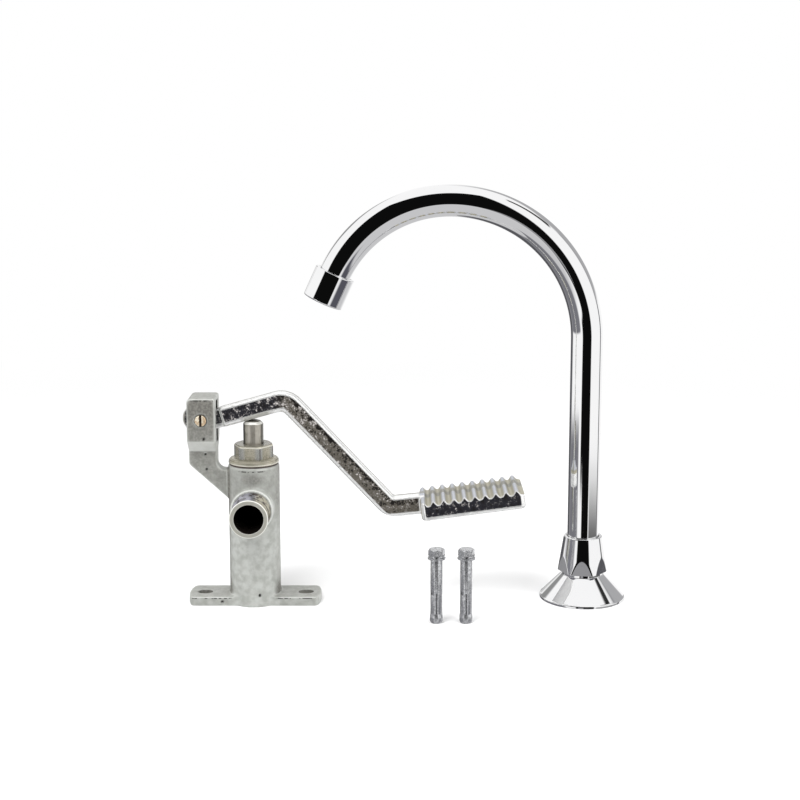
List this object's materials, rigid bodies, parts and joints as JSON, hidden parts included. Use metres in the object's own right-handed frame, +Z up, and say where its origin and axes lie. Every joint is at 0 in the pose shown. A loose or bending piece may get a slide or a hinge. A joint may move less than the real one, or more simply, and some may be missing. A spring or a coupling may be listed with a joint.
{
  "type": "foot pedal tap set",
  "caption": "Foot pedal tap set: cast pedal valve on a slotted foot plate, chrome swan-neck swivel spout on a round base, and loose sleeve anchors.",
  "frame": {"origin": "on the floor, on the axis of the valve barrel, midway between the foot plate's slots", "axes": "+X from the valve to the spout, +Z up, the valve's outlet points to -Y"},
  "size_m": [0.3099, 0.097, 0.2919],
  "materials": {
    "cast_body": "satin nickel on a casting",
    "cast_chrome": "chrome on a rough casting",
    "bright_chrome": "polished chrome",
    "nickel": "turned and nickelled",
    "brass": "turned brass",
    "fibre": "dark fibre",
    "rubber": "black rubber",
    "spring_steel": "drawn spring wire",
    "zinc_steel": "bright zinc",
    "screen_steel": "stainless sheet",
    "white_plastic": "moulded plastic"
  },
  "bodies": {
    "fixed": {"valve_body": "cast_body", "outlet_nipple": "bright_chrome", "inlet_nipple": "bright_chrome", "valve_seat": "brass", "gland_nut": "nickel", "gland_gasket": "fibre", "pivot_screw": "brass", "return_spring": "spring_steel", "bottom_plug": "brass", "plug_o_ring": "rubber", "base_flange": "bright_chrome", "base_gasket": "rubber", "cone_nut": "bright_chrome", "slip_washer": "white_plastic", "anchor_bolts": "zinc_steel", "anchor_spring_washers": "zinc_steel", "anchor_flat_washers": "zinc_steel", "anchor_sleeves": "zinc_steel", "anchor_cone_nuts": "zinc_steel"},
    "pedal": {"pedal_lever": "cast_chrome"},
    "plunger": {"plunger": "nickel", "plunger_o_rings": "rubber", "valve_stem": "brass", "disc_carrier": "brass", "valve_disc": "rubber", "disc_nut": "brass"},
    "spout": {"spout_tube": "bright_chrome", "tube_ferrule": "brass", "swivel_o_rings": "rubber", "nozzle_ferrule": "bright_chrome", "aerator_washer": "rubber", "aerator_screens": "screen_steel", "aerator_insert": "white_plastic", "aerator_shell": "bright_chrome"}
  },
  "joints": [
    {"name": "pedal_pivot", "type": "hinge", "parent": "fixed", "child": "pedal", "pos_m": [-0.0348, 0, 0.1317], "axis": [0, 1, 0], "range_deg": [0, 9.5]},
    {"name": "plunger_slide", "type": "slide", "parent": "fixed", "child": "plunger", "axis": [0, 0, 1], "range_m": [-0.0054, 0], "stiffness_N_per_m": 1500, "springref_m": 0.022, "deforming": ["return_spring"]},
    {"name": "spout_swivel", "type": "hinge", "parent": "fixed", "child": "spout", "pos_m": [0.2315, 0.008, 0.03], "axis": [0, 0, 1], "continuous": true}
  ],
  "couplings": [
    {"joint": "plunger_slide", "follows": "pedal_pivot", "m_per_rad": -0.0315}
  ]
}
